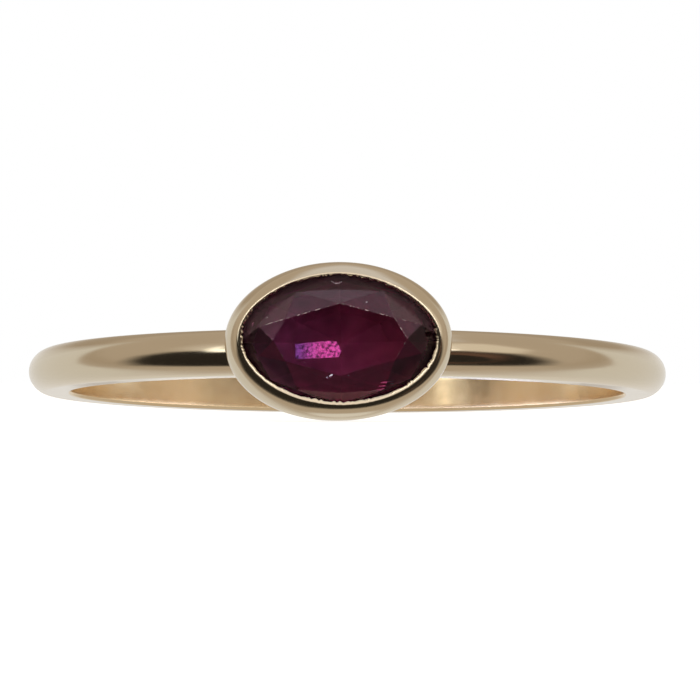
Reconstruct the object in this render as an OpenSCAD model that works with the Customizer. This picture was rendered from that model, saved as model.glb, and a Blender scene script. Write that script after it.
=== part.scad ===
// Stacking ring with one oval ruby, set east to west in a bezel.
// The ring lies on its side, as it comes to rest: on the bezel's lower side and on the far side of the band.
// The floor is z = 0 and the stone faces -Y.

/* [Band] */
// Inside diameter, ring size 7
finger_d = 17.3; // [15:0.1:20]
// Width of the band along the finger
band_w = 1.3; // [1.1:0.05:1.6]
// Thickness of the band at the top of its dome
band_t = 1.3; // [1.1:0.05:1.6]
// Height of the dome on the outside of the band
dome_h = 0.5; // [0.3:0.05:0.55]
// Rounding of the two inside edges
inside_edge_r = 0.12; // [0.05:0.01:0.2]

/* [Ruby] */
// Length of the stone, across the finger
stone_l = 5.45; // [5:0.05:6]
// Width of the stone, along the finger
stone_w = 3.65; // [3.4:0.05:4]
// Length of the table
table_l = 3.6; // [3:0.05:3.8]
// Width of the table
table_w = 1.95; // [1.7:0.05:2.2]
// Height of the crown, from the girdle to the table
crown_h = 0.5; // [0.4:0.05:0.6]
// Height of the table above the rim
table_rise = 0.05; // [0:0.01:0.1]
// Thickness of the girdle
girdle_h = 0.08; // [0.04:0.01:0.12]
// Depth of the pavilion, from the girdle to the culet
pavilion_h = 1.65; // [1.5:0.05:1.7]
// Turn of the four corner facets around the oval, from the long axis
corner_turn = 36; // [32:1:44]
// Length of the star facets, as a share of the crown's slope
star_share = 0.4; // [0.3:0.05:0.5]

/* [Bezel] */
// Height of the rim above the top of the band's dome
bezel_h = 2.5; // [2.4:0.05:3]
// Wall of the cup beside the girdle
cup_wall = 0.33; // [0.22:0.01:0.35]
// Rounding of the rim's outside edge
rim_r = 0.3; // [0.2:0.02:0.36]
// How deep the cup's foot is filed down over the band's dome
saddle_h = 0.25; // [0.2:0.05:0.4]
// Slope of the cup's wall, drawing in from the rim to the band
cup_slope = 6; // [5.5:0.5:8]
// How far the burnished lip reaches over the girdle
lip_reach = 0.17; // [0.1:0.01:0.22]
// Slope of the lip's inside face, in from the rim's crest to the stone
lip_bevel = 0.13; // [0.08:0.01:0.16]
// Ledge under the stone, in from the girdle
ledge_w = 0.22; // [0.15:0.01:0.3]
// Twist of the bezel on the band, where it was soldered a little askew
bezel_twist = 0.8; // [-2:0.1:2]
// How far the bezel sits off the band's middle, along the finger
bezel_off = 0.07; // [-0.1:0.01:0.1]
// How far the stone sits off the cup's middle, across the finger
stone_off_x = 0.04; // [-0.06:0.01:0.06]
// How far the stone sits off the cup's middle, along the finger
stone_off_y = 0.01; // [-0.06:0.01:0.06]

/* [Fit] */
// Gap between the stone and its seat
seat_gap = 0.025; // [0.02:0.005:0.05]

/* [Hidden] */
$fn = 180;

gold = [0.86, 0.74, 0.52];
ruby_red = [0.36, 0.03, 0.13];

// Extra length of a cutting shape past what it cuts
past = 1;

// Band, seen in its section: r is the distance from the finger's axis
band_in_r = finger_d / 2;
band_out_r = band_in_r + band_t;
dome_foot_r = band_out_r - dome_h;
dome_r = (pow(band_w / 2, 2) + pow(dome_h, 2)) / (2 * dome_h);

// Heights above the finger's axis, along the stone's own axis
rim_z = band_out_r + bezel_h;
table_z = rim_z + table_rise;
girdle_top_z = table_z - crown_h;
girdle_low_z = girdle_top_z - girdle_h;
culet_z = girdle_low_z - pavilion_h;
lip_z = girdle_top_z + lip_reach;
foot_r = band_out_r - saddle_h;
cup_low_z = foot_r - past;

// Outline of the cup at its widest, as half lengths
cup_x = stone_l / 2 + seat_gap + cup_wall;
cup_y = stone_w / 2 + seat_gap + cup_wall;
rim_centre_y = cup_y - rim_r;
rim_centre_z = rim_z - rim_r;
wall_top = [rim_centre_y + rim_r * cos(cup_slope), rim_centre_z - rim_r * sin(cup_slope)];

// Tilt at which the bezel's rim and the far side of the band meet the floor together
rest_rise = rim_centre_y - bezel_off - band_w / 2;
rest_run = rim_centre_z + dome_foot_r;
rest_tilt = atan(rest_rise / rest_run) + asin(rim_r / norm([rest_rise, rest_run]));
rest_lift = band_w / 2 * cos(rest_tilt) + dome_foot_r * sin(rest_tilt);

// Place of the finger's axis, so that the ring's box is centred on the origin
front_y = rim_centre_z * cos(rest_tilt) + (rim_centre_y - bezel_off) * sin(rest_tilt) + rim_r;
back_y = (band_out_r - dome_r) * cos(rest_tilt) + dome_r;
axis_y = (front_y - back_y) / 2;

// Turns of the eight main facets around the oval
main_turns = [
    0, corner_turn, 90, 180 - corner_turn,
    180, 180 + corner_turn, 270, 360 - corner_turn
];
mains = len(main_turns);

// Rows of the stepped pavilion: share of the girdle's size, and share of the depth
pavilion_steps = [[0.8, 0.37], [0.48, 0.69]];
first_step_slope = pavilion_steps[0][1] * pavilion_h / ((1 - pavilion_steps[0][0]) * stone_w / 2);

function next(i) = (i + 1) % mains;
function mid_turn(i) = (main_turns[i] + (i + 1 < mains ? main_turns[i + 1] : 360)) / 2;
function on_oval(length, width, turn) = [length / 2 * cos(turn), width / 2 * sin(turn)];
function along_girdle(i) = [-stone_l * sin(main_turns[i]), stone_w * cos(main_turns[i])];
function cross_2d(u, v) = u[0] * v[1] - u[1] * v[0];
function meeting(p, u, q, v) = p + u * cross_2d(q - p, v) / cross_2d(u, v);
function at_height(p, z) = [p[0], p[1], z];

function table_point(i) = on_oval(table_l, table_w, main_turns[i]);
function girdle_point(i) = on_oval(stone_l, stone_w, main_turns[i]);

// A star facet's outer point, where two neighbouring main facets meet
function star_point(i) =
    let (
        u = along_girdle(i),
        v = along_girdle(next(i)),
        high = meeting(table_point(i), u, table_point(next(i)), v),
        low = meeting(girdle_point(i), u, girdle_point(next(i)), v)
    )
    at_height(high + star_share * (low - high), table_z - star_share * crown_h);

// The girdle's 16 corners, main and middle ones in turn
function girdle_ring(z) = [
    for (i = [0 : mains - 1], middle = [0, 1])
        at_height(on_oval(stone_l, stone_w, middle == 1 ? mid_turn(i) : main_turns[i]), z)
];
function step_ring(step) = [
    for (i = [0 : mains - 1])
        at_height(girdle_point(i) * step[0], girdle_low_z - step[1] * pavilion_h)
];

// The ring stands upright around Z here, with its bezel towards -Y
module laid_down() {
    translate([0, axis_y, rest_lift])
        rotate([-rest_tilt, 0, 0])
            children();
}

// Turns the stone's own frame, with its table up, to face out of the ring
module facing_out() {
    rotate([90, 0, 0])
        translate([0, bezel_off, 0])
            rotate([0, 0, bezel_twist])
                children();
}

module beside_cup_middle() {
    translate([stone_off_x, stone_off_y, 0])
        children();
}

module band_section() {
    translate([band_in_r + inside_edge_r, -band_w / 2])
        square([dome_foot_r - band_in_r - inside_edge_r, band_w]);
    translate([band_in_r, -band_w / 2 + inside_edge_r])
        square([2 * inside_edge_r, band_w - 2 * inside_edge_r]);
    for (side = [-1, 1])
        translate([band_in_r + inside_edge_r, side * (band_w / 2 - inside_edge_r)])
            circle(r = inside_edge_r);
    intersection() {
        translate([band_out_r - dome_r, 0])
            circle(r = dome_r);
        translate([dome_foot_r, -band_w / 2])
            square([band_w, band_w]);
    }
}

module band() {
    rotate_extrude()
        band_section();
}

// Half of the cup's section across its width, filled: draft, rounded rim and flat crest
module cup_section() {
    polygon([
        [0, cup_low_z],
        [wall_top[0] - (wall_top[1] - cup_low_z) * tan(cup_slope), cup_low_z],
        wall_top,
        [rim_centre_y, rim_centre_z],
        [rim_centre_y, rim_z],
        [0, rim_z]
    ]);
    translate([rim_centre_y, rim_centre_z])
        circle(r = rim_r);
}

// Turns a half section about the stone's axis, and stretches it across the finger
module oval_turned(stretch) {
    scale([stretch, 1, 1])
        rotate_extrude()
            children();
}

// Groove for the girdle, with the lip's underside above it, and the ledge and the open back below
module stone_seat() {
    groove_y = stone_w / 2 + seat_gap;
    groove_x = stone_l / 2 + seat_gap;
    open_y = groove_y - ledge_w;
    ledge_z = girdle_low_z - seat_gap;
    open_z = ledge_z - ledge_w * first_step_slope;
    open_low_z = cup_low_z - past;
    oval_turned(groove_x / groove_y)
        polygon([
            [0, open_low_z],
            [open_y, open_low_z],
            [open_y, open_z],
            [groove_y, ledge_z],
            [groove_y, girdle_top_z + seat_gap],
            [groove_y - lip_reach, lip_z],
            [0, lip_z]
        ]);
}

// Mouth inside the lip, widening from the stone to the rim's crest
module lip_mouth() {
    mouth_y = stone_w / 2 + seat_gap - lip_reach;
    mouth_x = stone_l / 2 + seat_gap - lip_reach;
    oval_turned(mouth_x / mouth_y)
        polygon([
            [0, girdle_top_z],
            [mouth_y, girdle_top_z],
            [mouth_y, lip_z],
            [mouth_y + lip_bevel, rim_z],
            [mouth_y + lip_bevel, rim_z + past],
            [0, rim_z + past]
        ]);
}

module bezel_cup() {
    difference() {
        facing_out()
            difference() {
                oval_turned(cup_x / cup_y)
                    cup_section();
                beside_cup_middle() {
                    stone_seat();
                    lip_mouth();
                }
            }
        cylinder(h = 2 * (cup_y + past), r = foot_r, center = true);
    }
}

module band_and_bezel() {
    color(gold)
        laid_down() {
            band();
            bezel_cup();
        }
}

// Facets between two rings of equal count, the upper ring named first
function facets_between(upper, lower, count) = [
    for (k = [0 : count - 1])
        [upper + k, upper + (k + 1) % count, lower + (k + 1) % count, lower + k]
];

// Brilliant crown over a stepped pavilion; every facet is flat
module ruby() {
    last_step = len(pavilion_steps) - 1;
    points = concat(
        [for (i = [0 : mains - 1]) at_height(table_point(i), table_z)],
        [for (i = [0 : mains - 1]) star_point(i)],
        girdle_ring(girdle_top_z),
        girdle_ring(girdle_low_z),
        [for (step = pavilion_steps) each step_ring(step)],
        [[0, 0, culet_z]]
    );
    // Where each ring starts in the list of points
    stars = mains;
    girdle_top = 2 * mains;
    girdle_low = 4 * mains;
    first_ring = 6 * mains;
    last_ring = first_ring + last_step * mains;
    culet = last_ring + mains;

    table_facet = [[for (i = [mains - 1 : -1 : 0]) i]];
    star_facets = [for (i = [0 : mains - 1]) [i, next(i), stars + i]];
    main_facets = [
        for (i = [0 : mains - 1])
            [next(i), stars + next(i), girdle_top + 2 * next(i), stars + i]
    ];
    upper_facets = [
        for (i = [0 : mains - 1], k = [2 * i, 2 * i + 1])
            [stars + i, girdle_top + (k + 1) % (2 * mains), girdle_top + k]
    ];
    lower_facets = [
        for (i = [0 : mains - 1])
            each [
                [girdle_low + 2 * i, girdle_low + 2 * i + 1, first_ring + i],
                [girdle_low + 2 * i + 1, first_ring + next(i), first_ring + i],
                [girdle_low + 2 * i + 1, girdle_low + 2 * next(i), first_ring + next(i)]
            ]
    ];
    step_facets = [
        for (row = [0 : 1 : last_step - 1])
            each facets_between(first_ring + row * mains, first_ring + (row + 1) * mains, mains)
    ];
    culet_facets = [for (i = [0 : mains - 1]) [last_ring + i, last_ring + next(i), culet]];

    color(ruby_red)
        laid_down()
            facing_out()
                beside_cup_middle()
                    polyhedron(points, concat(
                        table_facet, star_facets, main_facets, upper_facets,
                        facets_between(girdle_top, girdle_low, 2 * mains),
                        lower_facets, step_facets, culet_facets
                    ));
}

band_and_bezel();
ruby();
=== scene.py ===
"""Looks of a slim gold ring with one oval ruby, set east to west in a bezel and laid on its side."""

import math

import bpy
from mathutils import Matrix, Vector, noise


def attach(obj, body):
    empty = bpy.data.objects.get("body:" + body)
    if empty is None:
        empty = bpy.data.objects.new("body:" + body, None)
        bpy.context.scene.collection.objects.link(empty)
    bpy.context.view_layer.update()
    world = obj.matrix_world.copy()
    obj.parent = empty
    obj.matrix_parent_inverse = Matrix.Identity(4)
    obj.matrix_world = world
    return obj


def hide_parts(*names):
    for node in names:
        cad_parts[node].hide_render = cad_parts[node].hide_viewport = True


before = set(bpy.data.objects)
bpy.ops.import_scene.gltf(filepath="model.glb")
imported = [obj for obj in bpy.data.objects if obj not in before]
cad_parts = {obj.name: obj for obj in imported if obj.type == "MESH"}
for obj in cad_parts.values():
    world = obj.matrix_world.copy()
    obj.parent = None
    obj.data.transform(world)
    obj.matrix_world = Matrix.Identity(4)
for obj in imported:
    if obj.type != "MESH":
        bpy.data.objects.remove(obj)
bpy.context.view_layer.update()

MM = 0.001

# Band, in mm: r is the distance from the finger's axis
BAND_IN_R = 8.65
BAND_OUT_R = 9.95
BAND_HALF_W = 0.65
DOME_H = 0.5
DOME_R = (BAND_HALF_W ** 2 + DOME_H ** 2) / (2 * DOME_H)
DOME_CENTRE_R = BAND_OUT_R - DOME_R
INSIDE_EDGE_R = 0.12

# Stone, in mm: its heights are above the finger's axis
STONE_L = 5.45
STONE_W = 3.65
TABLE_L = 3.6
TABLE_W = 1.95
TABLE_Z = 12.5
GIRDLE_TOP_Z = 12.0
GIRDLE_LOW_Z = 11.92
STONE_OFF = Vector((0.04, 0.01))
STONE_SHIFT = STONE_OFF.to_3d()
RUBY_IOR = 1.76

# Turn of the table's corners from its ends in degrees, and how far down the crown the star facets reach
CORNER_TURN = 36
STAR_SHARE = 0.4

# Height of the pavilion, and the size and depth of its steps as shares of the girdle's size and this height
PAVILION_H = 1.65
PAVILION_STEPS = ((0.8, 0.37), (0.48, 0.69))

# Healed crack inside the stone, in mm: outline across and along the finger, from above
CRACK_LEFT = -1.21
CRACK_RIGHT = 0.03
CRACK_OUTLINE = (
    (CRACK_LEFT, -0.08), (-1.2, -0.48), (-0.6, -0.47), (-0.04, -0.44), (CRACK_RIGHT, -0.28), (-0.1, -0.02),
    (-0.35, 0.0), (-0.8, -0.04)
)
CRACK_MIDDLE = -0.25
CRACK_Z = 11.9
CRACK_TILT = math.radians(-11)

# Bezel, in mm: X and Y are the half lengths of its ovals, across and along the finger
CUP_X = 3.125
CUP_Y = 2.18
CUP_OFF = Vector((-0.047, 0.02))
CUP_FULLNESS = 0.011
CUP_SLOPE = math.radians(6)
FOOT_R = 9.7
SOLDER_R = 0.16
BEZEL_TWIST = math.radians(0.8)
BEZEL_OFF = 0.07

# Rim: its crest is its highest line, on a tight arc whose bend is in degrees and grows at the left end
RIM_Z = 12.45
RIM_R = 0.3
CREST_X = 2.675
CREST_Y = 1.765
CREST_OFF = Vector((0.025, 0.015))
CREST_TURN = math.radians(-2)
CREST_R = 0.14
CREST_BEND = 31
LEFT_END_BEND = 7

# Lip, which ends at the mouth: its bends and the steepness of its inside face are in degrees
MOUTH_X = 2.585
MOUTH_Y = 1.69
MOUTH_OFF = Vector((0.012, 0.055))
PINCH = 0.014
LIP_BEND = 28
MORE_LIP_BEND = 15
LIP_BEND_CHANGE = 9
LIP_STEEPNESS = 82
LIP_EDGE_R = 0.025
LIP_FACE_W = 0.018
LIP_OVER_STONE = 0.05

# Seat around the girdle, and the open back below it
STONE_GAP = 0.025
GROOVE_X = 2.75
GROOVE_Y = 1.85
LEDGE_W = 0.22
LEDGE_Z = GIRDLE_LOW_Z - STONE_GAP
LEDGE_SLOPE = PAVILION_STEPS[0][1] * PAVILION_H / ((1 - PAVILION_STEPS[0][0]) * STONE_W / 2)
OPEN_X = (GROOVE_Y - LEDGE_W) * GROOVE_X / GROOVE_Y
OPEN_Y = GROOVE_Y - LEDGE_W
OPEN_Z = LEDGE_Z - LEDGE_W * LEDGE_SLOPE

# Steps of the meshes, around the band and the bezel and along the bezel's section
BAND_STEPS = 480
BEZEL_STEPS = 720
WALL_STEPS = 30
RIM_STEPS = 24
CREST_STEPS = 10
LIP_STEPS = 12
LIP_EDGE_STEPS = 5
LIP_FACE_STEPS = 4
BACK_STEPS = 10
FOOT_STEPS = 4

# How the ring lies: its lean, and the middle of its axis in mm
REST_TILT = math.radians(3.8687)
REST_LIFT = 1.2861
AXIS_Y = 1.3078

# From the band's frame, and from the setting's own frame above the finger's axis, to the ring as it lies
LAID_DOWN = Matrix.Translation((0, AXIS_Y, REST_LIFT)) @ Matrix.Rotation(-REST_TILT, 4, "X")
UPRIGHT = Matrix.Rotation(math.pi / 2, 4, "X") @ Matrix.Translation((0, BEZEL_OFF, 0))
FACING_OUT = LAID_DOWN @ UPRIGHT @ Matrix.Rotation(BEZEL_TWIST, 4, "Z")
RING_CENTRE = Vector((0, AXIS_Y, REST_LIFT)) * MM


def in_metres(matrix, point):
    return (matrix @ Vector(point)) * MM


def placed(points):
    """Points of the setting's own frame, as the ring lies, in metres."""
    return [in_metres(FACING_OUT, p) for p in points]


def at(flat, z):
    """The point at height z over a flat place."""
    return Vector((flat[0], flat[1], z))


def oval(x, y, turn):
    return Vector((x * math.cos(turn), y * math.sin(turn)))


def arc(centre, radius, start, end, count):
    """Points on an arc, from start to end in degrees, both ends included."""
    turns = [math.radians(start + (end - start) * i / (count - 1)) for i in range(count)]
    return [(centre[0] + radius * math.cos(t), centre[1] + radius * math.sin(t)) for t in turns]


def line(a, b, count):
    """Points from a to b, without the end point."""
    return [tuple(p + (q - p) * i / count for p, q in zip(a, b)) for i in range(count)]


def bezier(a, handle, b, count):
    """Points on a soft corner from a to b, without the end point."""
    out = []
    for i in range(count):
        t = i / count
        out.append(tuple(
            (1 - t) ** 2 * p + 2 * t * (1 - t) * h + t ** 2 * q for p, h, q in zip(a, handle, b)
        ))
    return out


def mesh_piece(name, points, faces, materials, smooth=True):
    mesh = bpy.data.meshes.new(name)
    mesh.from_pydata(points, [], faces)
    mesh.validate()
    for material in materials:
        mesh.materials.append(material)
    mesh.polygons.foreach_set("use_smooth", [smooth] * len(mesh.polygons))
    mesh.update()
    piece = bpy.data.objects.new(name, mesh)
    bpy.context.scene.collection.objects.link(piece)
    return piece


def closed_skin(name, rows, materials, material_of=None):
    """A skin over rows of points, closed both ways.

    material_of gives a face's material from its place in a row.
    """
    count, width = len(rows), len(rows[0])
    points = [p for row in rows for p in row]
    faces = []
    for i in range(count):
        for j in range(width):
            i2, j2 = (i + 1) % count, (j + 1) % width
            faces.append((i * width + j, i2 * width + j, i2 * width + j2, i * width + j2))
    piece = mesh_piece(name, points, faces, materials)
    if material_of:
        piece.data.polygons.foreach_set("material_index", [material_of(k % width) for k in range(len(faces))])
    return piece


# Materials, whose noise has its scale per metre

def new_material(name):
    material = bpy.data.materials.new(name)
    material.use_nodes = True
    nodes, links = material.node_tree.nodes, material.node_tree.links
    nodes.clear()
    shader = nodes.new("ShaderNodeBsdfPrincipled")
    output = nodes.new("ShaderNodeOutputMaterial")
    links.new(shader.outputs["BSDF"], output.inputs["Surface"])
    return material, nodes, links, shader, output


def add_noise(nodes, links, scale, detail, coordinates):
    texture = nodes.new("ShaderNodeTexNoise")
    texture.inputs["Scale"].default_value = scale
    texture.inputs["Detail"].default_value = detail
    links.new(coordinates, texture.inputs["Vector"])
    return texture


def ramp_between(nodes, links, factor, low, high):
    """A colour that turns from low to high as the factor grows."""
    ramp = nodes.new("ShaderNodeValToRGB")
    ramp.color_ramp.elements[0].color = low
    ramp.color_ramp.elements[1].color = high
    links.new(factor, ramp.inputs["Fac"])
    return ramp.outputs["Color"]


def gold(name, low, high, smooth_roughness, rough_roughness, wave_height):
    """Polished gold with low waves, whose tint and gloss vary a little from place to place."""
    material, nodes, links, shader, _ = new_material(name)
    place = nodes.new("ShaderNodeTexCoord").outputs["Object"]
    shader.inputs["Metallic"].default_value = 1.0
    tint = add_noise(nodes, links, 260, 2, place)
    links.new(ramp_between(nodes, links, tint.outputs["Fac"], low, high), shader.inputs["Base Color"])
    haze = add_noise(nodes, links, 2600, 4, place)
    spread = nodes.new("ShaderNodeMapRange")
    spread.inputs["To Min"].default_value = smooth_roughness
    spread.inputs["To Max"].default_value = rough_roughness
    links.new(haze.outputs["Fac"], spread.inputs["Value"])
    links.new(spread.outputs["Result"], shader.inputs["Roughness"])
    waves = add_noise(nodes, links, 700, 2, place)
    bump = nodes.new("ShaderNodeBump")
    bump.inputs["Distance"].default_value = wave_height
    links.new(waves.outputs["Fac"], bump.inputs["Height"])
    links.new(bump.outputs["Normal"], shader.inputs["Normal"])
    return material


def along_stone(nodes, links, left, right, left_colour, right_colour):
    """A colour that turns from the left one to the right one between two places across the finger, in mm."""
    place = nodes.new("ShaderNodeSeparateXYZ")
    links.new(nodes.new("ShaderNodeTexCoord").outputs["Object"], place.inputs["Vector"])
    spread = nodes.new("ShaderNodeMapRange")
    spread.inputs["From Min"].default_value = left * MM
    spread.inputs["From Max"].default_value = right * MM
    links.new(place.outputs["X"], spread.inputs["Value"])
    return ramp_between(nodes, links, spread.outputs["Result"], (*left_colour, 1), (*right_colour, 1))


def dimmed(nodes, links, hue, grain, low, high, dimmest):
    """A colour dimmed by a grain: to its dimmest share at the grain's low, and not at all at its high."""
    shade = nodes.new("ShaderNodeMapRange")
    shade.inputs["From Min"].default_value = low
    shade.inputs["From Max"].default_value = high
    shade.inputs["To Min"].default_value = dimmest
    shade.inputs["To Max"].default_value = 1.0
    links.new(grain.outputs["Fac"], shade.inputs["Value"])
    dim = nodes.new("ShaderNodeVectorMath")
    dim.operation = "SCALE"
    links.new(hue, dim.inputs["Vector"])
    links.new(shade.outputs["Result"], dim.inputs["Scale"])
    return dim.outputs["Vector"]


def clear_ruby(name, tint, gloss, clearness):
    """Polished ruby that lets light in: its gloss is the tint of its mirror images."""
    material, nodes, links, shader, output = new_material(name)
    shader.inputs["Base Color"].default_value = (*tint, 1)
    shader.inputs["Specular Tint"].default_value = (*gloss, 1)
    shader.inputs["Roughness"].default_value = 0.0
    shader.inputs["IOR"].default_value = RUBY_IOR
    shader.inputs["Transmission Weight"].default_value = clearness
    colour = nodes.new("ShaderNodeVolumeAbsorption")
    colour.inputs["Color"].default_value = (0.85, 0.0, 0.48, 1)
    colour.inputs["Density"].default_value = 150
    links.new(colour.outputs["Volume"], output.inputs["Volume"])
    return material


def cloudy_ruby_painted_glow(name, left_colour, right_colour, dimmest):
    """Cloudy back of the stone: light that comes in through the crown is lost in it.

    Its colour, which turns from the left end to the right, is painted glow and shade.
    """
    material, nodes, links, shader, _ = new_material(name)
    reach = 1.6
    hue = along_stone(nodes, links, -reach, reach, left_colour, right_colour)
    clouds = add_noise(nodes, links, 1100, 1, nodes.new("ShaderNodeTexCoord").outputs["Object"])
    links.new(dimmed(nodes, links, hue, clouds, 0.38, 0.62, dimmest), shader.inputs["Base Color"])
    shader.inputs["Roughness"].default_value = 0.6
    shader.inputs["Specular IOR Level"].default_value = 0.0
    return material


def abraded_and_spark(name, low, high):
    """Pale frosted ruby where it has lost its polish, used too for pale flakes that paint a spark of light.
    """
    material, nodes, links, shader, _ = new_material(name)
    place = nodes.new("ShaderNodeTexCoord").outputs["Object"]
    grain = add_noise(nodes, links, 9000, 2, place)
    links.new(ramp_between(nodes, links, grain.outputs["Fac"], low, high), shader.inputs["Base Color"])
    shader.inputs["Roughness"].default_value = 0.5
    return material


def healed_crack():
    """Silvery skin of a healed crack with a fine grain, which mirrors the lights.

    Its colour, dim violet at one end and bright pink at the other, partly paints the falloff of the stone's
    flash.
    """
    material, nodes, links, shader, _ = new_material("healed_crack")
    place = nodes.new("ShaderNodeTexCoord").outputs["Object"]
    # Dim violet to bright pink: painted falloff of the stone's flash
    violet, pink = (0.32, 0.10, 0.48), (1.0, 0.16, 0.66)
    hue = along_stone(nodes, links, CRACK_LEFT + 0.15, CRACK_RIGHT - 0.5, violet, pink)
    grain = add_noise(nodes, links, 13000, 4, place)
    links.new(dimmed(nodes, links, hue, grain, 0.36, 0.60, 0.12), shader.inputs["Base Color"])
    shader.inputs["Metallic"].default_value = 1.0
    shader.inputs["Roughness"].default_value = 0.25
    return material


def glint(name, colour):
    """A small flaw that catches the light, brighter in places."""
    material, nodes, links, shader, _ = new_material(name)
    grain = add_noise(nodes, links, 16000, 2, nodes.new("ShaderNodeTexCoord").outputs["Object"])
    low, high = (*(0.25 * c for c in colour), 1), (*colour, 1)
    links.new(ramp_between(nodes, links, grain.outputs["Fac"], low, high), shader.inputs["Base Color"])
    shader.inputs["Metallic"].default_value = 1.0
    shader.inputs["Roughness"].default_value = 0.3
    return material


# Metal

def band_profile():
    """The band's section as (r, z): flat inside with rounded edges, flat sides and a domed outside."""
    side = BAND_HALF_W
    shoulder = 70
    shoulder_r, shoulder_z = arc((DOME_CENTRE_R, 0), DOME_R, -shoulder, shoulder, 2)[1]
    corner_r = shoulder_r - (side - shoulder_z) / math.tan(math.radians(90 - shoulder))
    corner_reach = 0.09
    foot_r = corner_r - corner_reach
    dome_count, corner_count, side_count, edge_count, inside_count = 57, 6, 5, 8, 8
    points = arc((DOME_CENTRE_R, 0), DOME_R, -shoulder, shoulder, dome_count)[:-1]
    points += bezier((shoulder_r, shoulder_z), (corner_r, side), (foot_r, side), corner_count)
    points += line((foot_r, side), (BAND_IN_R + INSIDE_EDGE_R, side), side_count)
    inner = (BAND_IN_R + INSIDE_EDGE_R, side - INSIDE_EDGE_R)
    points += arc(inner, INSIDE_EDGE_R, 90, 180, edge_count)[:-1]
    points += line((BAND_IN_R, inner[1]), (BAND_IN_R, -inner[1]), inside_count)
    points += arc((inner[0], -inner[1]), INSIDE_EDGE_R, 180, 270, edge_count)[:-1]
    points += line((BAND_IN_R + INSIDE_EDGE_R, -side), (foot_r, -side), side_count)
    points += bezier((foot_r, -side), (corner_r, -side), (shoulder_r, -shoulder_z), corner_count)
    return points


def make_band(materials):
    profile = band_profile()
    rows = []
    for i in range(BAND_STEPS):
        turn = 2 * math.pi * i / BAND_STEPS
        rows.append([
            in_metres(LAID_DOWN, (r * math.cos(turn), r * math.sin(turn), z)) for r, z in profile
        ])
    inside = {k for k, (r, z) in enumerate(profile) if r < BAND_IN_R + 0.5 * INSIDE_EDGE_R}
    # The inside takes the second gold, whose warm tint is painted bounced light
    return closed_skin("band", rows, materials, lambda k: 1 if k in inside else 0)


def rim_section(reach, slope, bend):
    """The rim's section, from the wall below it up to the crest, as (distance out from the crest, z)."""
    # The wall touches the outer arc, and this line along the wall fixes the arc's radius
    line_out, line_z = reach - RIM_R * (1 - math.cos(slope)), RIM_Z - RIM_R - RIM_R * math.sin(slope)
    across = (CREST_R * math.sin(bend) - line_out) * math.cos(slope)
    along = (RIM_Z - CREST_R * (1 - math.cos(bend)) - line_z) * math.sin(slope)
    outer_r = (along - across) / (1 - math.sin(bend - slope))
    centre = ((CREST_R - outer_r) * math.sin(bend), RIM_Z - CREST_R + (CREST_R - outer_r) * math.cos(bend))
    points = []
    for k in range(RIM_STEPS + 1):
        lean = math.pi / 2 + slope - k * (math.pi / 2 + slope - bend) / RIM_STEPS
        points.append((centre[0] + outer_r * math.sin(lean), centre[1] + outer_r * math.cos(lean)))
    for k in range(1, CREST_STEPS + 1):
        lean = bend - k * bend / CREST_STEPS
        points.append((CREST_R * math.sin(lean), RIM_Z - CREST_R * (1 - math.cos(lean))))
    return points


def lip_oval(x, y, turn):
    """An oval of the lip, turned a little and drawn in between its ends, more so on the upper side."""
    flat = oval(x, y, turn) * (1 - PINCH * math.sin(2 * turn) ** 2 * (1 + math.sin(turn)))
    return Matrix.Rotation(CREST_TURN, 2) @ flat


def band_gap(point):
    """How far a point of the setting's own frame stands outside the band's skin, in mm."""
    x = point[0] * math.cos(BEZEL_TWIST) - point[1] * math.sin(BEZEL_TWIST)
    z = point[0] * math.sin(BEZEL_TWIST) + point[1] * math.cos(BEZEL_TWIST) + BEZEL_OFF
    r = math.hypot(x, point[2])
    return math.hypot(r - DOME_CENTRE_R, z) - DOME_R


def with_solder(point, outward):
    """Moves a point of the cup's wall out onto the hollow fillet of solder where the wall meets the band.

    The gap to the band changes as the point moves, so its place is found in a few rounds.
    """
    rounds = 12
    moved = point
    for _ in range(rounds):
        gap = min(max(band_gap(moved), 0), SOLDER_R)
        swell = SOLDER_R - math.sqrt(max(SOLDER_R ** 2 - (SOLDER_R - gap) ** 2, 0))
        moved = point + outward * swell
    return moved


def tool_marks(turn):
    """How far the burnisher's strokes push the lip's edge out or in, in mm, at a turn around the oval."""
    strokes_around = 76
    stroke_depth = 0.022
    sway = 0.025
    place = Vector((7 * math.cos(turn), 7 * math.sin(turn), 3))
    strength = min(max(noise.noise(place * 0.6) * 2.2 + 0.6, 0.2), 1)
    strokes = math.sin(strokes_around * turn + 9 * noise.noise(place * 1.5))
    return stroke_depth * strength * strokes + sway * noise.noise(place * 1.9)


def crown_height(x, y):
    """Height of the crown at a place beside the table, taken as a slope from the table to the girdle."""
    turn = math.atan2(y / STONE_W, x / STONE_L)
    inner, outer = oval(TABLE_L / 2, TABLE_W / 2, turn).length, oval(STONE_L / 2, STONE_W / 2, turn).length
    share = (math.hypot(x, y) - inner) / (outer - inner)
    return TABLE_Z - (TABLE_Z - GIRDLE_TOP_Z) * min(max(share, 0), 1)


def cup_wall(crest, away, top, slope, foot_z, outward):
    """The cup's wall, from the foot up to the rim, with its points closer together near the foot."""
    top_out, top_z = top
    crowding = 1.7
    points = []
    for k in range(WALL_STEPS):
        z = foot_z + (top_z - foot_z) * (k / WALL_STEPS) ** crowding
        flat = crest + away * (top_out - (top_z - z) * math.tan(slope))
        points.append(with_solder(at(flat, z), outward))
    return points


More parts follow.
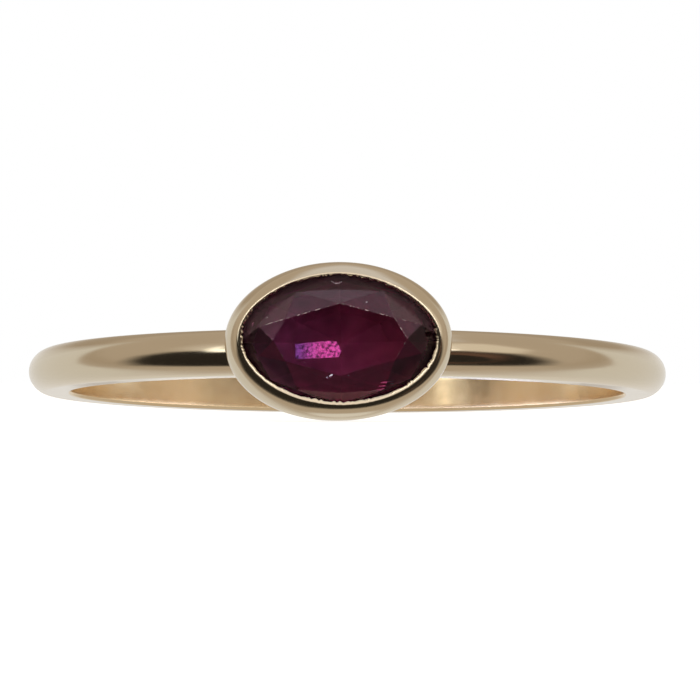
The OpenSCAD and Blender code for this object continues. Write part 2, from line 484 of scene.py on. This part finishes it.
def lip(crest, mouth, tip_z, turn, upper):
    """The lip, from the crest over a tight edge and down its steep inside face to just above the stone."""
    inward = mouth - crest
    length = inward.length
    inward.normalize()

    # It bends more at both ends and on the upper side, and sooner on the upper side
    endward = min(max(5 * abs(math.cos(turn)) - 4, 0), 1)
    bend = LIP_BEND + MORE_LIP_BEND * max(upper, endward)
    bend += LIP_BEND_CHANGE * noise.noise(Vector((16 * math.cos(turn), 16 * math.sin(turn), 9)))
    path = [(0, 0)]
    for k in range(1, LIP_STEPS + 1):
        lean = math.radians(bend * min((k - 0.5) / LIP_STEPS * (1 + 3 * upper), 1))
        path.append((path[-1][0] + math.cos(lean), path[-1][1] + math.sin(lean)))
    size = (length - LIP_FACE_W) / path[-1][0]
    points = []
    for u, v in path[1:]:
        reach = size * u
        z = RIM_Z - size * v
        points.append(at(crest + inward * reach, z))

    # Tight edge, and the steep face inside it
    lean = math.radians(bend)
    edge_reach = reach - LIP_EDGE_R * math.sin(lean)
    edge_z = z - LIP_EDGE_R * math.cos(lean)
    for k in range(1, LIP_EDGE_STEPS + 1):
        lean = math.radians(bend + (LIP_STEEPNESS - bend) * k / LIP_EDGE_STEPS)
        reach = edge_reach + LIP_EDGE_R * math.sin(lean)
        z = edge_z + LIP_EDGE_R * math.cos(lean)
        points.append(at(crest + inward * reach, z))
    for k in range(1, LIP_FACE_STEPS + 1):
        flat = crest + inward * (reach + (length - reach) * k / LIP_FACE_STEPS)
        points.append(at(flat, z + (tip_z - z) * k / LIP_FACE_STEPS))
    return points


def seat(mouth, opening, groove, tip_z):
    """The seat around the girdle, from under the lip down to the ledge's inner edge."""
    tip_thickness = 0.035
    return [
        at(mouth.lerp(groove, 0.15), tip_z - tip_thickness),
        at(mouth.lerp(groove, 0.5), 0.5 * (tip_z + GIRDLE_TOP_Z)),
        at(groove, GIRDLE_TOP_Z + STONE_GAP),
        at(groove, LEDGE_Z),
        at(groove.lerp(opening, 0.5), 0.5 * (LEDGE_Z + OPEN_Z)),
        at(opening, OPEN_Z),
    ]


def open_back(opening, foot):
    """The back's inside down to the band, and then the foot's underside out to the wall's first point."""
    inner_foot_z = math.sqrt(FOOT_R ** 2 - opening[0] ** 2)
    points = []
    for k in range(1, BACK_STEPS + 1):
        points.append(at(opening, OPEN_Z + (inner_foot_z - OPEN_Z) * k / BACK_STEPS))
    for k in range(1, FOOT_STEPS):
        flat = opening.lerp(foot.to_2d(), k / FOOT_STEPS)
        points.append(at(flat, math.sqrt(FOOT_R ** 2 - flat[0] ** 2)))
    return points


def make_bezel(materials):
    """The cup with its lip, its seat and its open back, one section after another around the oval."""
    foot_share = 0.93
    left_end = math.radians(15)
    rows = []
    for i in range(BEZEL_STEPS):
        turn = 2 * math.pi * i / BEZEL_STEPS
        scallop = tool_marks(turn)
        upper = min(max(2.5 * math.sin(turn), 0), 1)
        leftward = max(-math.cos(turn + left_end), 0)
        wide = oval(CUP_X, CUP_Y, turn) * (1 + CUP_FULLNESS * math.sin(2 * turn) ** 2) + CUP_OFF
        crest = lip_oval(CREST_X, CREST_Y, turn) + CREST_OFF
        mouth = lip_oval(MOUTH_X + scallop, MOUTH_Y + scallop, turn) + MOUTH_OFF
        groove = oval(GROOVE_X, GROOVE_Y, turn) + STONE_OFF
        opening = oval(OPEN_X, OPEN_Y, turn) + STONE_OFF
        outward = Vector((math.cos(turn) / CUP_X, math.sin(turn) / CUP_Y, 0)).normalized()
        slope = math.atan(math.tan(CUP_SLOPE) * wide.length / CUP_Y)
        away = wide - crest
        section = rim_section(away.length, slope, math.radians(CREST_BEND + LEFT_END_BEND * leftward))
        away.normalize()
        foot_z = math.sqrt(FOOT_R ** 2 - (foot_share * wide[0]) ** 2)
        row = cup_wall(crest, away, section[0], slope, foot_z, outward)

        # The tool's strokes push the rim's crest out or in on the upper side
        crest_shift = 0.3 * upper * scallop
        for k, (out, z) in enumerate(section):
            flat = crest + away * (out + crest_shift * max(k - RIM_STEPS, 0) / CREST_STEPS)
            row.append(at(flat, z))
        crest += away * crest_shift

        over_stone = mouth - STONE_OFF
        tip_z = crown_height(over_stone[0], over_stone[1]) + LIP_OVER_STONE
        row += lip(crest, mouth, tip_z, turn, upper)
        seat_from = len(row) - 1
        row += seat(mouth, opening, groove, tip_z)
        seat_to = len(row)
        row += open_back(opening, row[0])
        rows.append(placed(row))
    # The seat under the lip takes the second gold, darkened as painted shade
    return closed_skin("bezel", rows, materials, lambda k: 1 if seat_from <= k < seat_to else 0)


# Stone

MAIN_TURNS = [math.radians(t) for t in (
    0, CORNER_TURN, 90, 180 - CORNER_TURN, 180, 180 + CORNER_TURN, 270, 360 - CORNER_TURN
)]
MAINS = len(MAIN_TURNS)

# Places of the stone's materials in its list, and each main facet's place, from the right end over the top.
# The crown's copies of the ruby are painted light and shade: lighter above, darker or with a rosy glow below
CLEAR, LIT_HAZY, DIM, LIT_ROSY, SHADED_SMOKY, BACK, SHADED_SIDE, LIT_HIGH_SIDE = range(8)
MAIN_FACETS = (DIM, LIT_HAZY, LIT_HAZY, LIT_HAZY, SHADED_SMOKY, SHADED_SMOKY, LIT_ROSY, SHADED_SMOKY)

# Places of the materials of the small flaws
PALE, PINK, PAINTED_SPARK = range(3)


def along_girdle(i):
    """Direction of the girdle at a main facet."""
    return Vector((-STONE_L * math.sin(MAIN_TURNS[i]), STONE_W * math.cos(MAIN_TURNS[i])))


def meeting(p, u, q, v):
    """Where the line through p along u meets the line through q along v."""
    away = q - p
    return p + u * (away[0] * v[1] - away[1] * v[0]) / (u[0] * v[1] - u[1] * v[0])


def stone_rings():
    """The stone's corners, ring by ring, each a list of points in the setting's own frame."""
    table = [oval(TABLE_L / 2, TABLE_W / 2, t) for t in MAIN_TURNS]
    girdle = [oval(STONE_L / 2, STONE_W / 2, t) for t in MAIN_TURNS]
    stars = []
    for i in range(MAINS):
        k = (i + 1) % MAINS
        u, v = along_girdle(i), along_girdle(k)
        high = meeting(table[i], u, table[k], v)
        low = meeting(girdle[i], u, girdle[k], v)
        stars.append(at(high.lerp(low, STAR_SHARE), TABLE_Z - STAR_SHARE * (TABLE_Z - GIRDLE_TOP_Z)))
    outline = []
    for i in range(MAINS):
        after = MAIN_TURNS[i + 1] if i + 1 < MAINS else 2 * math.pi
        outline += [girdle[i], oval(STONE_L / 2, STONE_W / 2, (MAIN_TURNS[i] + after) / 2)]
    return {
        "table": [at(p, TABLE_Z) for p in table],
        "stars": stars,
        "girdle_top": [at(p, GIRDLE_TOP_Z) for p in outline],
        "girdle_low": [at(p, GIRDLE_LOW_Z) for p in outline],
        "steps": [
            [at(p * size, GIRDLE_LOW_Z - depth * PAVILION_H) for p in girdle]
            for size, depth in PAVILION_STEPS
        ],
        "culet": Vector((0, 0, GIRDLE_LOW_Z - PAVILION_H)),
    }


def make_stone(materials):
    rings = stone_rings()
    points, starts = [], []
    for ring in (rings["table"], rings["stars"], rings["girdle_top"], rings["girdle_low"], *rings["steps"]):
        starts.append(len(points))
        points += ring
    top, star, high, low, *steps = starts
    first, last = steps[0], steps[-1]
    culet = len(points)
    points.append(rings["culet"])
    faces, places = [], []

    def add(place, *new_faces):
        faces.extend(new_faces)
        places.extend([place] * len(new_faces))

    add(CLEAR, tuple(top + i for i in range(MAINS)))
    rim = 2 * MAINS
    for i in range(MAINS):
        k = (i + 1) % MAINS
        upper_half = i < MAINS // 2
        # Upper copies lighter, lower ones darker or rosy: painted light and shade
        add(CLEAR if upper_half else LIT_ROSY, (top + k, top + i, star + i))
        add(MAIN_FACETS[k], (top + k, star + i, high + 2 * k, star + k))
        add(
            LIT_HAZY if upper_half else SHADED_SMOKY,
            (star + i, high + 2 * i, high + 2 * i + 1),
            (star + i, high + 2 * i + 1, high + (2 * i + 2) % rim),
        )
        add(
            # Sides lighter on the upper half than below: painted light and shade
            LIT_HIGH_SIDE if upper_half else SHADED_SIDE,
            (low + 2 * i, first + i, low + 2 * i + 1),
            (low + 2 * i + 1, first + i, first + k),
            (low + 2 * i + 1, first + k, low + 2 * k),
        )
        for a, b in zip(steps, steps[1:]):
            add(BACK, (a + i, b + i, b + k, a + k))
        add(BACK, (last + i, culet, last + k))
    for i in range(rim):
        k = (i + 1) % rim
        add(CLEAR, (high + i, low + i, low + k, high + k))
    points = placed(p + STONE_SHIFT for p in points)
    stone = mesh_piece("ruby_stone", points, faces, materials, smooth=False)
    stone.data.polygons.foreach_set("material_index", places)
    bevel = stone.modifiers.new("worn_edges", "BEVEL")
    bevel.width = 0.006 * MM
    bevel.segments = 1
    bevel.limit_method = "ANGLE"
    bevel.angle_limit = math.radians(4)
    return stone


def make_worn_edges(material):
    """Broken slivers along the crown's edges where the polish has gone, just above the facets."""
    rings = stone_rings()
    table, stars = rings["table"], rings["stars"]
    points, faces = [], []
    raised = 0.004
    thinnest = 0.0012
    steps = 60

    # Fall of a sliver's outer corner, and depth of its underside, as shares of its half width
    fall = 0.3
    keel = 0.15
    least_keel = 0.003

    # Both ends of an edge, its greatest width in mm, and the share of it that is worn
    edges = (
        (table[3], table[2], 0.026, 0.75), (table[2], table[1], 0.024, 0.7), (table[1], table[0], 0.03, 0.55),
        (table[0], table[7], 0.03, 0.45), (table[3], stars[3], 0.024, 0.8), (table[4], stars[3], 0.02, 0.6),
        (table[4], table[3], 0.016, 0.35), (table[1], stars[0], 0.02, 0.5), (table[5], table[4], 0.014, 0.25),
        (table[6], table[5], 0.012, 0.2), (table[7], table[6], 0.012, 0.2),
    )
    for number, (a, b, width, share) in enumerate(edges):
        along = (b - a).normalized()
        across = along.cross(Vector((0, 0, 1))).normalized()
        outward = (a + b) / 2
        side = 1 if across.dot(at(outward, 0)) > 0 else -1
        slivers = [[]]
        for k in range(steps + 1):
            t = k / steps
            wear = noise.noise(Vector((t * 9, number * 5.1, 0.3))) * 0.9
            wear += noise.noise(Vector((t * 37, number, 7)))
            half = 0.5 * width * min(max((wear - 0.5 + share) / 0.5, 0), 1) * min(8 * t, 8 * (1 - t), 1)
            if half < thinnest:
                slivers.append([])
                continue
            middle = a.lerp(b, t) + STONE_SHIFT + Vector((0, 0, raised))
            slivers[-1].append((
                middle - across * side * half,
                middle,
                middle + across * side * half - Vector((0, 0, fall * half)),
                middle - Vector((0, 0, least_keel + keel * half)),
            ))
        for sliver in slivers:
            if len(sliver) < 2:
                continue
            start = len(points)
            points += [corner for ring in sliver for corner in ring]
            faces.append(tuple(start + n for n in range(4)))
            for k in range(len(sliver) - 1):
                low, high = start + 4 * k, start + 4 * k + 4
                faces += [(low + n, high + n, high + (n + 1) % 4, low + (n + 1) % 4) for n in range(4)]
            faces.append(tuple(start + 4 * len(sliver) - 4 + n for n in reversed(range(4))))
    return mesh_piece("worn_edges", placed(points), faces, [material])


def flake(points, faces, outline, thickness):
    """Adds a thin closed flake, whose upper outline is given in the setting's own frame."""
    start, count = len(points), len(outline)
    points += [p + STONE_SHIFT for p in outline]
    points += [p + STONE_SHIFT - Vector((0, 0, thickness)) for p in outline]
    faces.append(tuple(start + k for k in range(count)))
    faces.append(tuple(start + count + k for k in reversed(range(count))))
    for k in range(count):
        n = (k + 1) % count
        faces.append((start + k, start + count + k, start + count + n, start + n))


def make_crack(material):
    """A healed crack inside the stone, a flat flake that catches the light."""
    thickness = 0.01
    points, faces = [], []
    flake(points, faces, [
        Vector((x, y, CRACK_Z + (y - CRACK_MIDDLE) * math.tan(CRACK_TILT))) for x, y in CRACK_OUTLINE
    ], thickness)
    return mesh_piece("healed_crack", placed(points), faces, [material], smooth=False)


def make_glints(materials):
    """Small flaws that catch the light: glints under the crown's facets, and pale flakes close to its surface
    that paint a spark.
    """
    points, faces, material_of = [], [], []
    corners = 9
    thickness = 0.006
    glint_depth, upper_lean = 0.09, math.tan(math.radians(19))
    spark_depth, spark_lean = 0.02, -math.tan(math.radians(28))
    # Middle across and along the finger, length and width in mm, turn in degrees, and the material
    flaws = (
        (-0.25, -0.97, 0.13, 0.07, 40, PAINTED_SPARK), (-0.34, -1.02, 0.08, 0.05, -20, PAINTED_SPARK),
        (1.24, -1.12, 0.34, 0.045, 2, PINK), (1.12, -1.22, 0.22, 0.03, 6, PINK),
        (0.98, -1.32, 0.5, 0.07, 9, PINK), (1.36, -1.16, 0.12, 0.03, 0, PALE),
        (-0.19, 1.57, 0.14, 0.03, -32, PALE), (-0.09, 1.53, 0.14, 0.045, 3, PALE),
        (0.02, 1.56, 0.12, 0.03, 28, PALE), (-2.33, 0.45, 0.12, 0.04, 70, PINK),
        (-2.38, 0.2, 0.08, 0.03, 80, PINK), (-1.95, 0.62, 0.06, 0.025, 20, PALE),
        (0.22, -0.96, 0.04, 0.03, 0, PAINTED_SPARK), (0.72, 1.0, 0.05, 0.025, 10, PALE),
        (-0.95, -0.6, 0.06, 0.025, 0, PINK),
    )
    for number, (x, y, length, width, turn, material) in enumerate(flaws):
        if material == PAINTED_SPARK:
            height, lean = crown_height(x, y) - spark_depth, spark_lean
        else:
            height, lean = crown_height(x, y) - glint_depth, upper_lean if y > 0 else 0
        outline = []
        for k in range(corners):
            t = 2 * math.pi * k / corners
            wobble = 1 + 0.45 * noise.noise(Vector((number * 3.7, 2 * math.cos(t), 2 * math.sin(t))))
            around = oval(length / 2, width / 2, t) * wobble
            flat = Matrix.Rotation(math.radians(turn), 2) @ around + Vector((x, y))
            outline.append(at(flat, height - lean * (flat[1] - y)))
        before = len(faces)
        flake(points, faces, outline, thickness)
        material_of += [material] * (len(faces) - before)
    piece = mesh_piece("glints", placed(points), faces, materials, smooth=False)
    piece.data.polygons.foreach_set("material_index", material_of)
    return piece


# Studio

def emission(name, colour):
    material = bpy.data.materials.new(name)
    material.use_nodes = True
    nodes, links = material.node_tree.nodes, material.node_tree.links
    nodes.clear()
    glow = nodes.new("ShaderNodeEmission")
    glow.inputs["Color"].default_value = (*colour, 1)
    output = nodes.new("ShaderNodeOutputMaterial")
    links.new(glow.outputs["Emission"], output.inputs["Surface"])
    return material


def fading(name, colour):
    """A glow that is see-through where the mesh's cover attribute is 0."""
    material = emission(name, colour)
    nodes, links = material.node_tree.nodes, material.node_tree.links
    cover = nodes.new("ShaderNodeAttribute")
    cover.attribute_name = "cover"
    mix = nodes.new("ShaderNodeMixShader")
    links.new(cover.outputs["Fac"], mix.inputs["Fac"])
    links.new(nodes.new("ShaderNodeBsdfTransparent").outputs["BSDF"], mix.inputs[1])
    links.new(nodes["Emission"].outputs["Emission"], mix.inputs[2])
    links.new(mix.outputs["Shader"], nodes["Material Output"].inputs["Surface"])
    return material


def towards(azimuth, elevation):
    """Direction at an azimuth, from the camera's side to the right, and an elevation, both in degrees."""
    a, e = math.radians(azimuth), math.radians(elevation)
    return Vector((math.sin(a) * math.cos(e), -math.cos(a) * math.cos(e), math.sin(e)))


def soft_card(name, distance, middle, outline, colour, feather):
    """A card that shows only in mirror images and through the stone, and fades out over its outer share.

    Its middle and its outline are directions from the ring, as azimuth and elevation.
    """
    centre = towards(*middle)
    rims = []
    for share in (1, 1 - 0.5 * feather, 1 - feather):
        rims.append([centre.slerp(towards(*way), share) * distance for way in outline])
    count = len(outline)
    points = rims[0] + rims[1] + rims[2] + [centre * distance]
    faces = []
    for i in range(count):
        k = (i + 1) % count
        faces += [(i, k, count + k, count + i), (count + i, count + k, 2 * count + k, 2 * count + i)]
        faces.append((2 * count + i, 2 * count + k, 3 * count))
    piece = mesh_piece(name, points, faces, [fading(name, colour)])
    cover = piece.data.attributes.new("cover", "FLOAT", "POINT")
    cover.data.foreach_set("value", [0.0] * count + [0.5] * count + [1.0] * (count + 1))
    piece.visible_camera = False
    piece.visible_diffuse = False
    piece.visible_shadow = False


def paper_patch(name, turns, radii, height, colour):
    """A patch of paper just over the floor, around the finger's axis, that shows only in mirror images.

    Its turns are in degrees, and its radii and its height are in mm.
    """
    steps = 24
    points = []
    for k in range(steps + 1):
        turn = math.radians(turns[0] + (turns[1] - turns[0]) * k / steps)
        points += [Vector((r * math.cos(turn), AXIS_Y + r * math.sin(turn), height)) * MM for r in radii]
    faces = [(2 * k, 2 * k + 1, 2 * k + 3, 2 * k + 2) for k in range(steps)]
    patch = mesh_piece(name, points, faces, [emission(name, colour)])
    patch.visible_camera = False
    patch.visible_diffuse = False
    patch.visible_shadow = False
    patch.visible_transmission = False


def dome(radius):
    """Corners and faces of a round backdrop over the floor."""
    around, up = 48, 12
    points, faces = [], []
    for k in range(up):
        height = math.radians(90 * k / up)
        for i in range(around):
            turn = 2 * math.pi * i / around
            points.append((
                radius * math.cos(height) * math.cos(turn),
                radius * math.cos(height) * math.sin(turn),
                radius * math.sin(height),
            ))
    for k in range(up - 1):
        for i in range(around):
            n = (i + 1) % around
            faces.append((k * around + i, k * around + n, (k + 1) * around + n, (k + 1) * around + i))
    faces.append(tuple((up - 1) * around + i for i in range(around)))
    return points, faces


def make_room():
    """Plain pale floor and white backdrop, in a dull room that shows only in mirror images and the stone."""
    world = bpy.data.worlds.new("dull_room")
    world.use_nodes = True
    world.node_tree.nodes["Background"].inputs["Color"].default_value = (0.54, 0.465, 0.38, 1)
    bpy.context.scene.world = world

    half = 1.5
    material, _, _, shader, _ = new_material("floor")
    shader.inputs["Base Color"].default_value = (0.9, 0.9, 0.9, 1)
    shader.inputs["Roughness"].default_value = 0.8
    shader.inputs["Specular IOR Level"].default_value = 0.0
    shader.inputs["Emission Color"].default_value = (1, 1, 1, 1)
    shader.inputs["Emission Strength"].default_value = 0.8
    floor = mesh_piece(
        "floor",
        [(-half, -half, 0), (half, -half, 0), (half, half, 0), (-half, half, 0)],
        [(0, 1, 2, 3)], [material],
    )
    floor.visible_glossy = False
    floor.visible_transmission = False
    backdrop = mesh_piece("backdrop", *dome(half), [emission("backdrop", (1, 1, 1))])
    backdrop.visible_diffuse = False
    backdrop.visible_glossy = False
    backdrop.visible_transmission = False
    backdrop.visible_shadow = False


def make_lights():
    """Soft cards all around the ring, each drawn as directions in degrees, and pale paper under it."""
    # Off-white light behind the ring, seen in its sides
    soft_card("back_card", 0.8, (180, -15), [
        (180, 22), (-160, 24), (-130, 29), (-109, 17), (-98, -2), (-90, -20), (-85, -38), (-86, -57),
        (-108, -71), (-145, -77), (180, -82), (145, -79), (104, -74), (80, -61), (80, -40), (88, -20),
        (97, -2), (106, 17), (126, 29), (160, 24)
    ], colour=(0.82, 0.80, 0.77), feather=0.5)

    # Pale paper under the ring's far half, with a bright patch on each side,
    # and duller below the band, which is painted shade
    paper_patch("paper_middle", turns=(0, 180), radii=(0.1, 7.4), height=0.02, colour=(0.80, 0.76, 0.70))
    paper_patch("paper_right", turns=(24, 90), radii=(5.0, 7.0), height=0.03, colour=(3.1, 3.1, 4.0))
    paper_patch("paper_left", turns=(104, 160), radii=(5.0, 7.0), height=0.03, colour=(2.0, 1.8, 1.65))
    paper_patch("paper_edge_shaded", turns=(0, 180), radii=(7.4, 8.9), height=0.02, colour=(0.50, 0.45, 0.40))

    # Dull rim around the light behind the ring
    soft_card("back_rim_card", 1.9, (180, -8), [
        (180, 46), (-150, 46), (-120, 40), (-99, 22), (-88, 0), (-82, -20), (-80, -36), (-84, -52),
        (-115, -64), (-150, -71), (180, -79), (150, -71), (115, -64), (84, -52), (80, -36), (82, -20),
        (88, 0), (97, 22), (118, 40), (150, 46)
    ], colour=(0.45, 0.375, 0.29), feather=0.15)

    # Paler part of the ceiling, over the ring
    soft_card("ceiling_card", 0.9, (0, 82), [
        (0, 46), (35, 44), (62, 50), (90, 66), (140, 62), (180, 52), (-140, 62), (-90, 66), (-62, 50),
        (-35, 44)
    ], colour=(0.77, 0.76, 0.78), feather=0.4)

    # Dark opening that the camera looks in from, browner on the right
    soft_card("front_card", 0.7, (-8, -24), [
        (-15, 17), (-40, 14), (-53, 15), (-68, 14), (-80, 3), (-88, -13), (-91, -28), (-85, -42), (-76, -53),
        (-62, -62), (-45, -66), (-20, -63), (0, -61), (20, -61), (42, -59), (60, -53), (76, -42), (85, -27),
        (83, -13), (77, -1), (68, 9), (55, 13), (40, 18), (15, 20)
    ], colour=(0.028, 0.024, 0.02), feather=0.14)
    soft_card("right_front_card", 0.6, (43, -16), [
        (26, 12), (40, 16), (54, 13), (61, 0), (60, -26), (52, -48), (40, -54), (30, -40), (24, -14)
    ], colour=(0.15, 0.085, 0.06), feather=0.6)

    # Strip of light over the opening, duller at both ends, with a small bright spot on each side
    soft_card("strip_card", 0.5, (3, 34), [
        (0, 17), (-22, 14), (-36, 12), (-42, 22), (-36, 40), (-22, 51), (0, 55), (25, 54), (42, 48),
        (46, 30), (38, 15), (22, 17)
    ], colour=(1.1, 1.03, 0.98), feather=0.24)
    soft_card("left_strip_card", 0.55, (-48, 22), [
        (-28, 12), (-46, 10), (-62, 12), (-70, 24), (-64, 44), (-46, 52), (-28, 40)
    ], colour=(0.68, 0.62, 0.54), feather=0.6)
    soft_card("right_strip_card", 0.56, (52, 26), [
        (36, 14), (50, 9), (66, 8), (76, 24), (66, 48), (47, 50), (34, 36)
    ], colour=(0.82, 0.75, 0.65), feather=0.3)
    soft_card("spot_card", 0.45, (-45, 13), [
        (-48, 36), (-46, 30), (-46, 22), (-41, 18), (-38, 11), (-38, 5), (-43, 3), (-49, 7), (-51, 18),
        (-50, 30)
    ], colour=(2.0, 2.0, 1.9), feather=0.4)
    soft_card("right_spot_card", 0.45, (36, 17), [
        (36, 22), (32, 20), (32, 14), (36, 12), (41, 14), (41, 20)
    ], colour=(2.0, 1.95, 1.85), feather=0.4)

    # Two slim bright reflectors in the strip, seen as sparkles along the rim and the lip
    for number, side in enumerate((-1, 1)):
        soft_card(f"sparkle_card_{number}", 0.4, (side * 26, 33), [
            (side * a, e) for a, e in (
                (36, 18), (32, 31), (25, 38), (18, 43), (15, 40), (21, 35), (26, 29), (31, 17)
            )
        ], colour=(4.2, 4.1, 3.9), feather=0.3)

    # Pale ground below the ring and behind it
    soft_card("low_card", 0.85, (180, -78), [
        (0, -82), (60, -81), (90, -77), (120, -70), (150, -62), (180, -58), (-150, -62), (-120, -70),
        (-90, -77), (-60, -81)
    ], colour=(0.86, 0.86, 0.85), feather=0.4)

    # Pale walls to the left and the right, seen in both ends of the band
    for number, side in enumerate((-1, 1)):
        soft_card(f"side_card_{number}", 0.75, (side * 115, -6), [
            (side * a, e) for a, e in (
                (115, 50), (110, 36), (107.5, 20), (106.5, 8), (106, -6), (102, -20), (96, -34), (97, -50),
                (112, -62), (140, -62), (160, -40), (166, -6), (160, 14), (142, 28), (126, 40)
            )
        ], colour=(0.76, 0.75, 0.72), feather=0.35)


# Camera, fitted to the photograph: pixels are of its 700 by 700 frame, and angles are in degrees

FRAME_PX = 700
FOCAL_PX = 2595
RING_PX = (347.4, 375.5)
SENSOR_MM = 36
CAMERA_DISTANCE = 81.7 * MM
CAMERA_AZIMUTH = 1.1
CAMERA_ELEVATION = -0.165
CAMERA_ROLL = 0.14


def make_camera():
    back = towards(CAMERA_AZIMUTH, CAMERA_ELEVATION)
    place = RING_CENTRE + back * CAMERA_DISTANCE
    right = (-back).cross(Vector((0, 0, 1))).normalized()
    up = right.cross(-back)
    per_px = CAMERA_DISTANCE / FOCAL_PX
    sideways = right * (FRAME_PX / 2 - RING_PX[0]) * per_px
    upwards = up * (RING_PX[1] - FRAME_PX / 2) * per_px
    aim = RING_CENTRE + sideways + upwards
    camera = bpy.data.objects.new("camera", bpy.data.cameras.new("camera"))
    bpy.context.scene.collection.objects.link(camera)
    camera.data.sensor_width = SENSOR_MM
    camera.data.lens = SENSOR_MM * FOCAL_PX / FRAME_PX
    camera.data.clip_start = 0.001
    camera.data.clip_end = 10
    camera.location = place
    turn = (aim - place).to_track_quat("-Z", "Y").to_matrix().to_4x4()
    camera.rotation_euler = (turn @ Matrix.Rotation(math.radians(CAMERA_ROLL), 4, "Z")).to_euler()
    bpy.context.scene.camera = camera


# Scene

bpy.context.scene.view_settings.view_transform = "Standard"
make_room()
make_lights()
make_camera()

# Each gold has its two tints, its lowest and highest roughness, and the height of its waves in metres
bright_gold = gold("gold", (0.70, 0.605, 0.455, 1), (0.74, 0.645, 0.495, 1), 0.10, 0.17, 0.0000026)
# The inside's gold is rougher, as on the real ring, and its warmer, brighter tint is painted bounced light
inside_gold_painted_bounce = gold("gold_inside_painted_bounce", (0.88, 0.64, 0.35, 1), (1.0, 0.87, 0.63, 1), 0.16, 0.28, 0.000017)
# The seat's gold is darkened: painted shade in the gap under the lip, around the girdle
seat_gold_painted_shade = gold("gold_seat_painted_shade", (0.14, 0.10, 0.06, 1), (0.18, 0.13, 0.08, 1), 0.4, 0.6, 0.000002)
band = make_band([bright_gold, inside_gold_painted_bounce])
bezel = make_bezel([bright_gold, seat_gold_painted_shade])

# In the order of the stone's material places: ruby copies whose colours paint each facet's light, shade and
# glow
stone = make_stone([
    clear_ruby("ruby", (1.0, 0.90, 0.96), (0.64, 0.48, 0.6), 1.0),
    clear_ruby("ruby_hazy_lit", (0.9, 0.66, 0.76), (0.72, 0.54, 0.68), 0.94),
    clear_ruby("ruby_dim", (0.96, 0.78, 0.9), (0.9, 0.7, 0.8), 1.0),
    clear_ruby("ruby_rosy_lit", (1.0, 0.28, 0.52), (0.9, 0.7, 0.8), 0.973),
    clear_ruby("ruby_smoky_shaded", (0.74, 0.48, 0.6), (0.26, 0.18, 0.22), 0.985),
    cloudy_ruby_painted_glow("ruby_back_painted_glow", (0.92, 0.29, 0.72), (0.96, 0.2, 0.42), 0.7),
    cloudy_ruby_painted_glow("ruby_side_shaded", (0.27, 0.07, 0.12), (0.25, 0.07, 0.12), 0.5),
    cloudy_ruby_painted_glow("ruby_high_side_lit", (0.72, 0.32, 0.5), (0.68, 0.32, 0.43), 0.6),
])
worn_edges = make_worn_edges(abraded_and_spark("abraded_edge", (0.30, 0.20, 0.23, 1), (0.75, 0.62, 0.66, 1)))
crack = make_crack(healed_crack())

# In the order of the small flaws' material places; the last is a painted spark
glints = make_glints([
    glint("pale_glint", (0.95, 0.95, 1.0)),
    glint("pink_glint", (1.0, 0.42, 0.72)),
    # Pale bluish flakes whose colour is a painted spark of light
    abraded_and_spark("painted_spark", (0.55, 0.58, 0.95, 1), (0.95, 0.97, 1.0, 1)),
])

for piece, node, slot in (
    (band, "band_and_bezel", "gold"),
    (bezel, "band_and_bezel", "gold"),
    (stone, "ruby", "ruby"),
):
    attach(piece, "root")
    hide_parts(node)
for piece in (worn_edges, crack, glints):
    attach(piece, "root")
